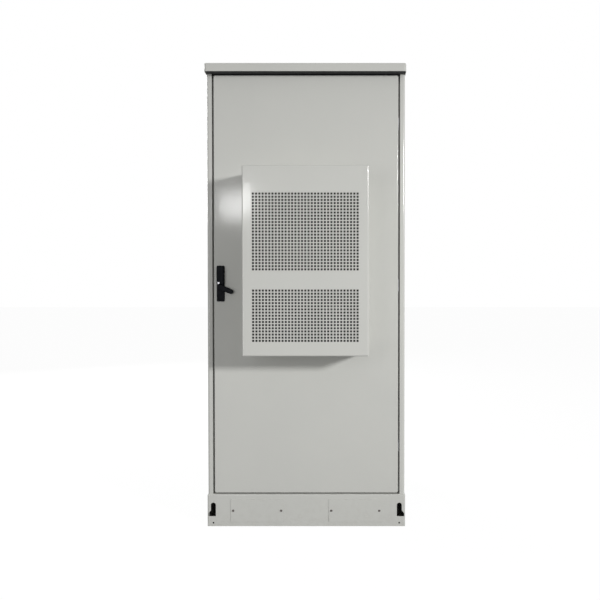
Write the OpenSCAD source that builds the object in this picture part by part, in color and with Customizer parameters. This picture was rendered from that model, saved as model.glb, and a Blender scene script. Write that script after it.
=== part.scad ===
// Roadside utility cabinet: a sheet steel enclosure on a plinth, with one door on three
// concealed hinges, a swing-handle rod lock and an air conditioner fixed to the door.
// Millimetres, +Z up, the door faces -Y, origin in the middle of the plinth's underside.

/* [Body] */
// outer width of the body
body_w = 800; // [720:10:1000]
// outer depth of the body
body_d = 800; // [720:10:1000]
// thickness of the body and door sheet
sheet = 1.5; // [1.2:0.1:2]
// width of the frame strip that shows beside the door
strip_w = 20; // [14:1:26]
// width of the gap round the door
door_gap = 7; // [6:0.5:9]

/* [Door] */
// height of the door
door_h = 1692; // [1600:1:1900]
// depth of the door pan
door_depth = 28; // [27:0.5:28.5]
// width of the sealing strip
gasket_w = 12; // [9:0.5:13]

/* [Plinth and roof] */
// height of the plinth
plinth_h = 129; // [125:1:180]
// how far the plinth stands out past the body
plinth_out = 3; // [1:0.5:5]
// spacing of the anchor bolts, both ways
anchor_pitch = 720; // [690:5:725]
// radius of an anchor hole
anchor_r = 7; // [5:0.5:9]
// how far the roof stands out in front of the body
roof_front = 45; // [20:1:70]
// height of the roof's lip
roof_h = 35; // [34:1:50]

/* [Air conditioner] */
// width of the cover
ac_w = 480; // [470:1:520]
// height of the cover
ac_h = 722; // [700:1:760]
// how far the cover stands out of the door
ac_d = 190; // [186:1:220]
// height of the cover's lower edge above the ground
ac_z = 712; // [640:1:760]
// how far the cover is off the middle, to the right
ac_x = 9; // [-10:1:20]
// side of a punched hole
hole = 7.8; // [5:0.1:8]
// sideways pitch of the holes
pitch_x = 12.35; // [11.5:0.05:12.6]
// upright pitch of the holes
pitch_z = 11.9; // [10.5:0.1:12]

/* [Lock] */
// height of the lever's pivot above the ground
lock_z = 974; // [900:1:1050]
// length of the lever from its pivot
lever_len = 56; // [45:1:58]
// angle of the lever below the horizontal at rest
lever_drop = 23; // [0:1:40]

/* [Inside] */
// rack units on a rail
rack_units = 35; // [10:1:35]
// clear width between a pair of rails
rail_gap = 450; // [440:1:470]
// how far the rails stand in from the front and the back
rail_in = 120; // [90:5:200]

/* [Hidden] */
$fn = 48;
paint = "#c6c6bc";
dark = "#26272a";
steel = "#a9acad";
alloy = "#b9bcbd";
rubber = "#1d1e1f";
copper = "#b06a3b";

// overlap that lets a cutting shape pass clean through
cut = 1;
// smallest clearance between pieces that move past each other
clear = 0.4;
// radial clearance of a shaft in its bore
run_fit = 0.06;

hw = body_w / 2;
hd = body_d / 2;
floor_t = 2;
z_floor = plinth_h + floor_t;
door_z0 = plinth_h + door_gap;
door_z1 = door_z0 + door_h;
door_half = hw - strip_w - door_gap;
door_r = 3;
door_corner = 9;
door_back = door_depth - hd;
skin_y = sheet - hd;
head_z = door_z1 + door_gap;
head_strip = 16;
top_z = head_z + head_strip;
shell_top = top_z - sheet;

// frame that the door closes on
edge_r = 8;
gutter = 30;
gutter_y = gutter - hd;
lip_deep = 12;
lip_y = lip_deep - hd;
side_return = 60;
hinge_lip_in = 30;
hinge_lip = door_half - hinge_lip_in;
lock_lip_in = 61;
lock_lip = door_half - lock_lip_in;
sill_lip_up = 33;
sill_lip = door_z0 + sill_lip_up;
head_lip_down = 38;
head_lip = door_z1 - head_lip_down;
sill_foot = 20;
post_leg = 46;

// roof
roof_side = 2;
roof_back = 20;
roof_r = 12;
roof_corner = 10;
roof_lip_gap = 3;
roof_z = door_z1 + roof_lip_gap;
roof_top = roof_z + roof_h;
spacer_r = 14;
spacer_in = 70;

// plinth
plinth_t = 3;
plinth_r = 4;
plinth_corner = 6;
plinth_half = hw + plinth_out;
plinth_dhalf = hd + plinth_out;
plinth_foot = 70;
plinth_rim = 40;
bolt_r = 5;
bolt_fit = 0.3;
bolt_head_r = 8;
bolt_head_h = 6;
bolt_len = 22;
bolt_in = 18;
bolt_y = 200;

// fork pocket covers
fork_x = 199.75;
fork_w = 215.5;
fork_z = 18;
fork_h = 92;
fork_t = 2;
fork_rim = 17;
fork_screw_in = 10;
screw_r = 3;
screw_fit = 0.25;
screw_head_r = 4.8;
screw_head_h = 3;
screw_len = 12;

// boot-shaped slots in the plinth's corners
boot_in = 34.5;
boot_w = 20.4;
boot_z = 40.6;
boot_leg = 46;
boot_heel = 24;
boot_toe = 12;
boot_toe_in = 4;
boot_deep = 8;
drain_in = 24.5;
drain_z = 14;
drain_r = 3.6;

// cable entry
entry_in = 200;
entry_y = hd - entry_in;
entry_w = 300;
entry_d = 160;
gland_rim = 15;
gland_t = 3;
gland_cols = 3;
gland_pitch = 90;
gland_row = 70;
gland_r = 12.5;
gland_bore = 9;
gland_flange_r = 17;
gland_flange_h = 5;
gland_nut_h = 6;
gland_dome_h = 16;
gland_dome_r = 14;

// rails and earth bar
rail_face = 36;
rail_web = 40;
rail_t = 2;
rack_u = 44.45;
rack_first = 6.35;
rack_step = 15.875;
rack_hole = 9.5;
rack_hole_in = 7.55;
rack_up_from_sill = 24;
rack_z = sill_lip + rack_up_from_sill;
earth_w = 300;
earth_h = 25;
earth_t = 6;
earth_z = 240;
earth_holes = 6;
earth_hole_r = 4.5;
earth_pitch = 36;
stand_r = 10;
stand_len = 26;
stand_x = 130;

// air conditioner
ac_sheet = 1.2;
ac_r = 5;
ac_corner = 5;
ac_fit = 0.3;
grille_cols = 33;
low_rows = 17;
up_rows = 25;
low_in = 53;
up_in = 323.5;
// each punched column is drawn in a hair further than the cover's face
column_draw = 0.02;
grille_w = grille_cols * pitch_x;
ac_in = ac_w / 2 - ac_sheet - ac_fit;
plate_t = 2;
tray_gap = 4;
flange_d = 30;
ac_screw_r = 2;
ac_screw_head_r = 4;
ac_screw_head_h = 2.2;
ac_screw_len = 8;
ac_screw_y = 15;
ac_screw_in = 90;
part_y = 80;
part_gap = 0.5;
return_w = 300;
return_h = 100;
return_z = 581;
supply_z = 51;
air_rim = 15;
slot_rows = 8;
slot_h = 5;
slot_in = 12;
cond_w = 380;
cond_h = 300;
cond_t = 30;
cond_gap = 12;
cond_z = 320;
evap_w = 300;
evap_h = 130;
evap_t = 36;
evap_gap = 24;
evap_z = 568;
fin_pitch = 9.5;
fin_slot = 5;
fin_deep = 8;
coil_end = 2;
coil_rim = 6;
bend_r = 10;
bend_space = 40;
tube_r = 4;
fan_z = 470;
fan_r = 125;
fan_hub_r = 32;
fan_hub_h = 24;
fan_gap = 6;
blade_count = 5;
blade_w = 52;
blade_t = 2.5;
blade_pitch = 24;
motor_r = 38;
motor_h = 22;
shaft_r = 5;
shaft_deep = 16;
comp_r = 47;
comp_h = 170;
comp_neck_r = 30;
comp_neck_h = 12;
comp_x = 110;
comp_foot_r = 50;
comp_foot_h = 5;
blower_z = 101;
blower_r = 55;
blower_h = 44;
blower_web = 3;
blower_ring = 4;
blower_blades = 20;
blower_blade_t = 1.5;
blower_blade_d = 12;
blower_hub_r = 14;
blower_motor_r = 28;
blower_motor_h = 12;
blower_gap = 4;

// concealed hinges
hinge_ends = 190;
hinge_zs = [door_z0 + hinge_ends, (door_z0 + door_z1) / 2, door_z1 - hinge_ends];
axis_in = 6;
axis_x = door_half - axis_in;
axis_deep = 9.6;
axis_y = axis_deep - hd;
pin_r = 3;
pin_head_r = 4.5;
pin_head_h = 2;
arm_t = 6;
arm_r = 6;
arm_in = 6;
arm_out = 2;
leaf_t = 3;
leaf_half = 25;
leaf_in = 19;
leaf_out = 11;
ear_gap = 0.3;
ear_t = 5;
ear_in = 14.5;
ear_out = 1;
ear_foot = 2;
ear_half = 30;
ear_r = 5.5;
notch_half = 35;

// swing handle and rod lock
lock_in = 27.3;
lock_x = lock_in - door_half;
base_w = 32;
base_low = 58;
base_high = 87;
base_t = 5;
base_r = 2.4;
base_corner = 5;
boss_w = 30;
boss_r = 4;
boss_z = 11.6;
boss_in = 4;
boss_t = 16;
pocket_w = 22;
pocket_deep = 2.5;
pocket_rim = 5;
pocket_top = 13;
pocket_corner = 4;
hub_r = 10.8;
lever_t = 11;
lever_root_t = 9;
lever_tip_r = 9.2;
spindle_r = 6;
spindle_deep = 8;
hole_r = 9;
plug_x = -6.6;
plug_z = 16.6;
plug_r = 4;
plug_proud = 1.2;
plug_deep = 10;
key_w = 1.2;
key_h = 4.4;
key_deep = 4;
gear_m = 1.25;
gear_n = 18;
gear_t = 3.6;
gear_angle = 20;
gear_backlash = 0.12;
flank_steps = 5;
gear_pr = gear_m * gear_n / 2;
gear_or = gear_pr + gear_m;
root_share = 1.25;
gear_root = root_share * gear_m;
gear_rr = gear_pr - gear_root;
gear_br = gear_pr * cos(gear_angle);
rack_pitch = PI * gear_m;
rod_w = 8;
rod_t = 4;
rod_deep = 12;
rod_y = rod_deep - hd;
rod_tail = 24;
rack_up = 4;
rack_down = 6;
rod_gap = 43;
case_half_w = 24;
case_half_h = 35;
case_wall = 2;
case_back = 22;
guide_w = 14;
guide_h = 14;
guide_wall = 4;
guide_shares = [0.2, 0.52, 0.86];
catch_lift = 3;
catch_deep = 15;
catch_t = 3;
catch_finger = 5;
catch_foot = 22;

up_tip = door_z1 - rod_gap;
low_tip = door_z0 + rod_gap;

// stiffeners
hat_in = 39;
hat_x = lock_lip - hat_in;
hat_w = 30;
hat_d = 14;
hat_flange = 12;
hat_ends = 62;

// Shared shapes

// a box from its low corner to its high corner
module block(lo, hi) {
    translate(lo) cube(hi - lo);
}

// a flat outline with two rounded corners at its top
module crown_outline(w, h, r) {
    translate([-w / 2, 0]) square([w, h - r]);
    translate([r - w / 2, 0]) square([w - 2 * r, h]);
    for (s = [-1, 1])
        translate([s * (w / 2 - r), h - r]) circle(r);
}

// a flat rectangle with four rounded corners
module plan_outline(w, d, corner) {
    square([w - 2 * corner, d], center = true);
    square([w, d - 2 * corner], center = true);
    for (sx = [-1, 1], sy = [-1, 1])
        translate([sx * (w / 2 - corner), sy * (d / 2 - corner)]) circle(corner);
}

// a box whose top edges are rounded by r, as a sheet folds, and whose upright edges are rounded by corner
module crown(w, d, h, r, corner) {
    intersection() {
        rotate([90, 0, 0]) translate([0, 0, -d / 2]) linear_extrude(d) crown_outline(w, h, r);
        rotate([90, 0, 90]) translate([0, 0, -w / 2]) linear_extrude(w) crown_outline(d, h, r);
        linear_extrude(h) plan_outline(w, d, corner);
    }
}

// a folded sheet pan, open below
module pan(w, d, h, r, corner, t) {
    difference() {
        crown(w, d, h, r, corner);
        translate([0, 0, -cut]) crown(w - 2 * t, d - 2 * t, h - t + cut, r - t, corner - t);
    }
}

// a cylinder along Y, from one y to another
module bar_y(r, y0, y1) {
    translate([0, y1, 0]) rotate([90, 0, 0]) cylinder(r = r, h = y1 - y0);
}

// mirrors its children to the left when side is -1
module sided(side) {
    scale([side, 1, 1]) children();
}

// Plinth

// boot-shaped outline in a plinth corner, in X and Z
module boot_outline() {
    polygon([
        [plinth_half - boot_in, boot_z],
        [plinth_half - boot_toe_in, boot_z],
        [plinth_half - boot_toe_in, boot_z + boot_toe],
        [plinth_half - boot_in + boot_w, boot_z + boot_heel],
        [plinth_half - boot_in + boot_w, boot_z + boot_leg],
        [plinth_half - boot_in, boot_z + boot_leg]]);
    translate([plinth_half - boot_in + boot_w / 2, boot_z + boot_leg]) circle(boot_w / 2);
}

// what is cut from one half of the plinth's front
module plinth_front_cuts() {
    rotate([90, 0, 0]) translate([0, 0, plinth_dhalf - boot_deep]) linear_extrude(boot_deep + cut)
        boot_outline();
    block([fork_x - fork_w / 2 + fork_rim, -plinth_dhalf - cut, fork_z + fork_rim / 2],
        [fork_x + fork_w / 2 - fork_rim, plinth_t + cut - plinth_dhalf, fork_z + fork_h - fork_rim / 2]);
    translate([plinth_half - drain_in, 0, drain_z])
        bar_y(drain_r, -plinth_dhalf - cut, plinth_t + cut - plinth_dhalf);
    for (s = [-1, 1])
        translate([fork_x + s * (fork_w / 2 - fork_screw_in), 0, fork_z + fork_h / 2])
            bar_y(screw_r + screw_fit, -plinth_dhalf - cut, plinth_t + cut - plinth_dhalf);
}

module plinth() {
    inner_w = plinth_half - plinth_t;
    inner_d = plinth_dhalf - plinth_t;
    color(paint)
    difference() {
        crown(2 * plinth_half, 2 * plinth_dhalf, plinth_h, plinth_r, plinth_corner);
        block([-inner_w, -inner_d, plinth_t], [inner_w, inner_d, plinth_h - plinth_t]);
        block([plinth_foot - plinth_half, plinth_foot - plinth_dhalf, -cut],
            [plinth_half - plinth_foot, plinth_dhalf - plinth_foot, plinth_h / 2]);
        block([plinth_rim - plinth_half, plinth_rim - plinth_dhalf, plinth_h / 2],
            [plinth_half - plinth_rim, plinth_dhalf - plinth_rim, plinth_h + cut]);
        for (sx = [-1, 1], sy = [-1, 1]) {
            scale([sx, sy, 1]) plinth_front_cuts();
            translate([sx * anchor_pitch / 2, sy * anchor_pitch / 2, -cut])
                cylinder(r = anchor_r, h = plinth_t + 2 * cut);
            translate([sx * (hw - bolt_in), sy * bolt_y, plinth_h - plinth_t - cut])
                cylinder(r = bolt_r + bolt_fit, h = plinth_t + 2 * cut);
        }
    }
}

// one fork pocket cover, for the side of the plinth that sx and sy name
module fork_cover(sx, sy) {
    color(paint)
    scale([sx, sy, 1])
    difference() {
        block([fork_x - fork_w / 2, -plinth_dhalf - fork_t, fork_z],
            [fork_x + fork_w / 2, -plinth_dhalf, fork_z + fork_h]);
        for (s = [-1, 1])
            translate([fork_x + s * (fork_w / 2 - fork_screw_in), 0, fork_z + fork_h / 2])
                bar_y(screw_r + screw_fit, -plinth_dhalf - fork_t - cut, cut - plinth_dhalf);
    }
}

module fork_cover_front_left() { fork_cover(-1, 1); }
module fork_cover_front_right() { fork_cover(1, 1); }
module fork_cover_rear_left() { fork_cover(-1, -1); }
module fork_cover_rear_right() { fork_cover(1, -1); }

module fork_cover_screws() {
    face_y = -plinth_dhalf - fork_t;
    color(steel)
    for (sx = [-1, 1], sy = [-1, 1], s = [-1, 1])
        scale([sx, sy, 1])
        translate([fork_x + s * (fork_w / 2 - fork_screw_in), 0, fork_z + fork_h / 2]) {
            bar_y(screw_head_r, face_y - screw_head_h, face_y);
            bar_y(screw_r, face_y - screw_head_h / 2, face_y + screw_len);
        }
}

module plinth_bolts() {
    color(steel)
    for (sx = [-1, 1], sy = [-1, 1])
        translate([sx * (hw - bolt_in), sy * bolt_y, z_floor]) {
            cylinder(r = bolt_head_r, h = bolt_head_h, $fn = 6);
            translate([0, 0, -bolt_len]) cylinder(r = bolt_r, h = bolt_len + bolt_head_h / 2);
        }
}

// Floor and cable entry

module floor_panel() {
    color(paint)
    difference() {
        block([-hw, -hd, plinth_h], [hw, hd, z_floor]);
        block([-entry_w / 2, entry_y - entry_d / 2, plinth_h - cut],
            [entry_w / 2, entry_y + entry_d / 2, z_floor + cut]);
        for (sx = [-1, 1], sy = [-1, 1])
            translate([sx * (hw - bolt_in), sy * bolt_y, plinth_h - cut])
                cylinder(r = bolt_r + bolt_fit, h = floor_t + 2 * cut);
    }
}

// puts its children at the place of each cable gland
module at_glands() {
    for (i = [0:gland_cols - 1], s = [-1, 1])
        translate([(i - (gland_cols - 1) / 2) * gland_pitch, entry_y + s * gland_row / 2, 0]) children();
}

module gland_plate() {
    color(alloy)
    difference() {
        block([-entry_w / 2 - gland_rim, entry_y - entry_d / 2 - gland_rim, z_floor],
            [entry_w / 2 + gland_rim, entry_y + entry_d / 2 + gland_rim, z_floor + gland_t]);
        at_glands()
            translate([0, 0, z_floor - cut]) cylinder(r = gland_r + bolt_fit, h = gland_t + 2 * cut);
    }
}

module cable_glands() {
    top = z_floor + gland_t;
    color(dark)
    at_glands()
    difference() {
        union() {
            translate([0, 0, top]) cylinder(r = gland_flange_r, h = gland_flange_h, $fn = 6);
            translate([0, 0, top]) cylinder(r = gland_dome_r, h = gland_dome_h);
            translate([0, 0, z_floor - gland_nut_h]) cylinder(r = gland_r, h = gland_t + gland_nut_h + cut);
            translate([0, 0, z_floor - gland_nut_h]) cylinder(r = gland_flange_r, h = gland_nut_h, $fn = 6);
        }
        translate([0, 0, z_floor - gland_nut_h - cut])
            cylinder(r = gland_bore, h = gland_nut_h + gland_t + gland_dome_h + 2 * cut);
    }
}

// Body shell

module side_panel(side) {
    color(paint)
    sided(side)
        block([hw - sheet, side_return - hd, z_floor], [hw, hd - sheet, shell_top]);
}

module left_side_panel() { side_panel(-1); }
module right_side_panel() { side_panel(1); }

module rear_panel() {
    color(paint) block([-hw, hd - sheet, z_floor], [hw, hd, shell_top]);
}

module rear_post(side) {
    color(paint)
    sided(side) {
        block([hw - 2 * sheet, hd - post_leg, z_floor], [hw - sheet, hd - sheet, shell_top]);
        block([hw - post_leg, hd - 2 * sheet, z_floor], [hw - sheet, hd - sheet, shell_top]);
    }
}

module left_rear_post() { rear_post(-1); }
module right_rear_post() { rear_post(1); }

// folded front post: face strip, rounded corner, side return and gutter
module jamb_outline(lip_x) {
    translate([hw - strip_w, -hd]) square([strip_w - edge_r, sheet]);
    intersection() {
        translate([hw - edge_r, edge_r - hd])
        difference() {
            circle(edge_r);
            circle(edge_r - sheet);
        }
        translate([hw - edge_r, -hd]) square(edge_r);
    }
    translate([hw - sheet, edge_r - hd]) square([sheet, side_return - edge_r]);
    translate([hw - strip_w, -hd]) square([sheet, gutter + sheet]);
    translate([lip_x, gutter_y]) square([hw - strip_w + sheet - lip_x, sheet]);
}

module door_jamb(side, lip_x) {
    color(paint)
    sided(side)
    union() {
        translate([0, 0, z_floor]) linear_extrude(shell_top - z_floor) jamb_outline(lip_x);
        block([lip_x, lip_y, sill_lip - sheet], [lip_x + sheet, gutter_y + sheet, head_lip + sheet]);
    }
}

module left_door_jamb() { door_jamb(-1, lock_lip); }
module right_door_jamb() { door_jamb(1, hinge_lip); }

module door_header() {
    color(paint)
    union() {
        block([strip_w - hw, -hd, head_z], [hw - strip_w, skin_y, shell_top]);
        block([strip_w - hw, -hd, head_z], [hw - strip_w, gutter_y, head_z + sheet]);
        block([-lock_lip, gutter_y, head_lip], [hinge_lip, gutter_y + sheet, head_z + sheet]);
        block([-lock_lip, lip_y, head_lip], [hinge_lip, gutter_y + sheet, head_lip + sheet]);
    }
}

module door_sill() {
    color(paint)
    union() {
        block([-lock_lip, gutter_y, z_floor], [hinge_lip, gutter_y + sheet, sill_lip]);
        block([-lock_lip, lip_y, sill_lip - sheet], [hinge_lip, gutter_y + sheet, sill_lip]);
        block([-lock_lip, gutter_y, z_floor], [hinge_lip, gutter_y + sill_foot, z_floor + sheet]);
    }
}

module top_panel() {
    color(paint) block([-hw, -hd, shell_top], [hw, hd, top_z]);
}

module roof_spacers() {
    color(steel)
    for (sx = [-1, 1], sy = [-1, 1])
        translate([sx * (hw - spacer_in), sy * (hd - spacer_in), top_z])
            cylinder(r = spacer_r, h = roof_top - sheet - top_z);
}

module roof_cover() {
    color(paint)
    translate([0, (roof_back - roof_front) / 2, roof_z])
        pan(2 * (hw + roof_side), body_d + roof_front + roof_back, roof_h, roof_r, roof_corner, sheet);
}

// Inside the body

// one rack rail, a folded angle with three square holes to each unit
module rail(sx, sy) {
    x0 = rail_gap / 2;
    y0 = rail_in - hd;
    tall = shell_top - z_floor;
    color(steel)
    scale([sx, sy, 1])
    union() {
        translate([0, y0 + rail_t, z_floor]) rotate([90, 0, 0]) linear_extrude(rail_t)
        difference() {
            translate([x0, 0]) square([rail_face, tall]);
            for (u = [0:rack_units - 1], k = [0:2])
                translate([x0 + rack_hole_in - rack_hole / 2,
                    rack_z - z_floor + u * rack_u + rack_first + k * rack_step - rack_hole / 2])
                    square(rack_hole);
        }
        block([x0 + rail_face - rail_t, y0, z_floor], [x0 + rail_face, y0 + rail_web, shell_top]);
    }
}

module front_left_rail() { rail(-1, 1); }
module front_right_rail() { rail(1, 1); }
module rear_left_rail() { rail(-1, -1); }
module rear_right_rail() { rail(1, -1); }

module earth_bar() {
    back_y = hd - sheet - stand_len;
    color(copper)
    difference() {
        block([-earth_w / 2, back_y - earth_t, earth_z], [earth_w / 2, back_y, earth_z + earth_h]);
        for (i = [0:earth_holes - 1])
            translate([(i - (earth_holes - 1) / 2) * earth_pitch, 0, earth_z + earth_h / 2])
                bar_y(earth_hole_r, back_y - earth_t - cut, back_y + cut);
    }
}

module earth_bar_insulators() {
    color("#8d2f26")
    for (s = [-1, 1])
        translate([s * stand_x, 0, earth_z + earth_h / 2])
            bar_y(stand_r, hd - sheet - stand_len, hd - sheet);
}

// Hinges

module hinge_frame_leaves() {
    color(steel)
    for (z = hinge_zs)
        difference() {
            union() {
                block([axis_x - leaf_in, gutter_y - leaf_t, z - leaf_half],
                    [axis_x + leaf_out, gutter_y, z + leaf_half]);
                block([axis_x - arm_in, axis_y, z - arm_t / 2],
                    [axis_x + arm_out, gutter_y - leaf_t / 2, z + arm_t / 2]);
                translate([axis_x, axis_y, z - arm_t / 2]) cylinder(r = arm_r, h = arm_t);
            }
            translate([axis_x, axis_y, z - arm_t]) cylinder(r = pin_r + run_fit, h = 2 * arm_t);
        }
}

// one ear of a door leaf, from its foot to the pin
module hinge_ear() {
    difference() {
        union() {
            block([axis_x - ear_in, skin_y, 0], [axis_x - ear_out, axis_y, ear_t]);
            block([axis_x - ear_r, skin_y, 0], [axis_x, axis_y, ear_t]);
            translate([axis_x, axis_y, 0]) cylinder(r = ear_r, h = ear_t);
        }
        translate([axis_x, axis_y, -cut]) cylinder(r = pin_r, h = ear_t + 2 * cut);
    }
}

module hinge_door_leaves() {
    lift = arm_t / 2 + ear_gap;
    color(steel)
    for (z = hinge_zs)
        union() {
            block([axis_x - ear_in, skin_y, z - ear_half],
                [axis_x - ear_out, skin_y + ear_foot, z + ear_half]);
            translate([0, 0, z + lift]) hinge_ear();
            translate([0, 0, z - lift - ear_t]) hinge_ear();
        }
}

module hinge_pins() {
    reach = arm_t / 2 + ear_gap + ear_t;
    color(alloy)
    for (z = hinge_zs)
        translate([axis_x, axis_y, z]) {
            translate([0, 0, -reach]) cylinder(r = pin_r, h = 2 * reach + pin_head_h / 2);
            translate([0, 0, reach]) cylinder(r = pin_head_r, h = pin_head_h);
        }
}

// Door

// cut-outs for the two air paths, relative to the door and the air conditioner
module air_cutouts(y0, y1) {
    for (z = [ac_z + return_z, ac_z + supply_z])
        block([ac_x - return_w / 2, y0, z], [ac_x + return_w / 2, y1, z + return_h]);
}

module door_panel() {
    color(paint)
    difference() {
        translate([0, door_back, (door_z0 + door_z1) / 2]) rotate([90, 0, 0])
            pan(2 * door_half, door_h, door_depth, door_r, door_corner, sheet);
        air_cutouts(-hd - cut, skin_y + cut);
        translate([lock_x, 0, lock_z]) bar_y(hole_r, -hd - cut, skin_y + cut);
        for (z = hinge_zs)
            block([door_half - sheet - cut, skin_y + door_r, z - notch_half],
                [door_half + cut, door_back + cut, z + notch_half]);
    }
}

module door_gasket() {
    y1 = lip_y - clear;
    half = gasket_w / 2;
    x0 = -lock_lip - sheet / 2;
    x1 = hinge_lip + sheet / 2;
    z0 = sill_lip - sheet / 2;
    z1 = head_lip + sheet / 2;
    color(rubber)
    difference() {
        block([x0 - half, skin_y, z0 - half], [x1 + half, y1, z1 + half]);
        block([x0 + half, skin_y - cut, z0 + half], [x1 - half, y1 + cut, z1 - half]);
    }
}

// folded stiffener outline in X and Y, standing on the door's skin
module hat_outline() {
    translate([-hat_w / 2 - hat_flange, 0]) square([hat_flange + sheet, sheet]);
    translate([hat_w / 2 - sheet, 0]) square([hat_flange + sheet, sheet]);
    translate([-hat_w / 2, 0]) square([sheet, hat_d]);
    translate([hat_w / 2 - sheet, 0]) square([sheet, hat_d]);
    translate([-hat_w / 2, hat_d - sheet]) square([hat_w, sheet]);
}

module door_stiffeners() {
    color(paint)
    for (s = [-1, 1])
        translate([s * hat_x, skin_y, door_z0 + hat_ends])
            linear_extrude(door_h - 2 * hat_ends) hat_outline();
}

// slotted plate over one air path, on the inside of the door
module air_grille(z) {
    rows_pitch = return_h / slot_rows;
    color(paint)
    difference() {
        block([ac_x - return_w / 2 - air_rim, skin_y, z - air_rim],
            [ac_x + return_w / 2 + air_rim, skin_y + plate_t, z + return_h + air_rim]);
        for (i = [0:slot_rows - 1])
            translate([ac_x, skin_y - cut, z + (i + 1 / 2) * rows_pitch])
                block([slot_in - return_w / 2, 0, -slot_h / 2],
                    [return_w / 2 - slot_in, plate_t + 2 * cut, slot_h / 2]);
    }
}

module return_air_grille() { air_grille(ac_z + return_z); }
module supply_air_grille() { air_grille(ac_z + supply_z); }

// Air conditioner

// one punched column of the cover's grille
module punched_column(rows) {
    difference() {
        cube([pitch_x, ac_sheet, rows * pitch_z]);
        for (j = [0:rows - 1])
            translate([(pitch_x - hole) / 2, -cut, j * pitch_z + (pitch_z - hole) / 2])
                cube([hole, ac_sheet + 2 * cut, hole]);
    }
}

// one grille, its columns drawn in by turns
module grille(z, rows) {
    for (i = [0:grille_cols - 1])
        translate([i * pitch_x - grille_w / 2, (1 + i % 2) * column_draw - ac_d, z]) punched_column(rows);
}

// the window that a grille fills
module grille_window(z, rows) {
    block([-grille_w / 2, -ac_d - cut, z], [grille_w / 2, ac_sheet + cut - ac_d, z + rows * pitch_z]);
}

// puts its children at each cover screw, pointing out along X
module at_cover_screws() {
    for (s = [-1, 1], z = [ac_screw_in, ac_h / 2, ac_h - ac_screw_in])
        translate([s * ac_w / 2, -ac_screw_y, z]) rotate([0, s * 90, 0]) children();
}

module ac_cover() {
    color(paint)
    translate([ac_x, -hd, ac_z])
    union() {
        difference() {
            translate([0, 0, ac_h / 2]) rotate([90, 0, 0])
                pan(ac_w, ac_h, ac_d, ac_r, ac_corner, ac_sheet);
            grille_window(low_in, low_rows);
            grille_window(up_in, up_rows);
            at_cover_screws() translate([0, 0, -ac_screw_len])
                cylinder(r = ac_screw_r + screw_fit, h = 2 * ac_screw_len);
        }
        grille(low_in, low_rows);
        grille(up_in, up_rows);
    }
}

module ac_cover_screws() {
    color(steel)
    translate([ac_x, -hd, ac_z])
    at_cover_screws() {
        cylinder(r = ac_screw_head_r, h = ac_screw_head_h);
        translate([0, 0, -ac_screw_len]) cylinder(r = ac_screw_r, h = ac_screw_len + ac_screw_head_h / 2);
    }
}

module ac_chassis() {
    z0 = ac_sheet + tray_gap;
    z1 = ac_h - z0;
    tray_d = ac_d - ac_sheet - tray_gap;
    color(steel)
    difference() {
        translate([ac_x, -hd, ac_z])
        union() {
            block([-ac_in, -plate_t, z0], [ac_in, 0, z1]);
            block([-ac_in, -tray_d, z0], [ac_in, 0, z0 + plate_t]);
            for (s = [-1, 1])
                sided(s) block([ac_in - plate_t, -flange_d, z0], [ac_in, 0, z1]);
        }
        air_cutouts(-hd - plate_t - cut, cut - hd);
        translate([ac_x, -hd, ac_z]) at_cover_screws() translate([0, 0, -ac_screw_len])
            cylinder(r = ac_screw_r + screw_fit, h = 2 * ac_screw_len);
    }
}

module ac_partition() {
    z0 = ac_sheet + tray_gap + plate_t;
    color(steel)
    translate([ac_x, -hd, ac_z])
        block([part_gap - ac_in, -part_y - plate_t, z0], [ac_in - part_gap, -part_y, ac_h - z0]);
}

// a finned coil from its low corner, with end plates and return bends; foot is how far its end plates reach
module coil(w, t, h, foot) {
    fins = floor((w - 2 * coil_rim) / fin_pitch);
    bends = floor(h / bend_space);
    difference() {
        block([-w / 2, 0, 0], [w / 2, t, h]);
        for (i = [0:fins - 1])
            translate([(i - (fins - 1) / 2) * fin_pitch - fin_slot / 2, -cut, coil_rim])
                cube([fin_slot, fin_deep + cut, h - 2 * coil_rim]);
    }
    for (s = [-1, 1]) {
        sided(s) block([w / 2, 0, -coil_rim], [w / 2 + coil_end, t + foot, h + coil_rim]);
        for (k = [0:bends - 1])
            translate([s * (w / 2 + coil_end), t / 2, (k + 1 / 2) * bend_space])
                rotate([90, 0, 0]) rotate([0, 0, -s * 90]) rotate_extrude(angle = 180)
                    translate([bend_r, 0]) circle(tube_r);
    }
}

module condenser_coil() {
    y0 = ac_sheet + cond_gap - ac_d;
    color(alloy)
    translate([ac_x, y0 - hd, ac_z + cond_z])
        coil(cond_w, cond_t, cond_h, -part_y - plate_t - y0 - cond_t);
}

module evaporator_coil() {
    color(alloy)
    translate([ac_x, -hd - part_y, ac_z + evap_z])
    translate([0, evap_t + evap_gap, 0]) mirror([0, 1, 0])
        coil(evap_w, evap_t, evap_h, evap_gap);
}

module compressor() {
    z0 = ac_sheet + tray_gap + plate_t;
    y0 = (ac_d + part_y + plate_t) / 2;
    color(dark)
    translate([ac_x + comp_x, -hd - y0, ac_z + z0]) {
        cylinder(r = comp_r, h = comp_h);
        cylinder(r = comp_foot_r, h = comp_foot_h, $fn = 8);
        translate([0, 0, comp_h]) cylinder(r = comp_neck_r, h = comp_neck_h);
    }
}

module condenser_fan_motor() {
    face = part_y + plate_t;
    color(dark)
    translate([ac_x, -hd, ac_z + fan_z]) {
        bar_y(motor_r, -face - motor_h, -face);
        bar_y(shaft_r, -face - motor_h - fan_gap - shaft_deep, -face);
    }
}

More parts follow.
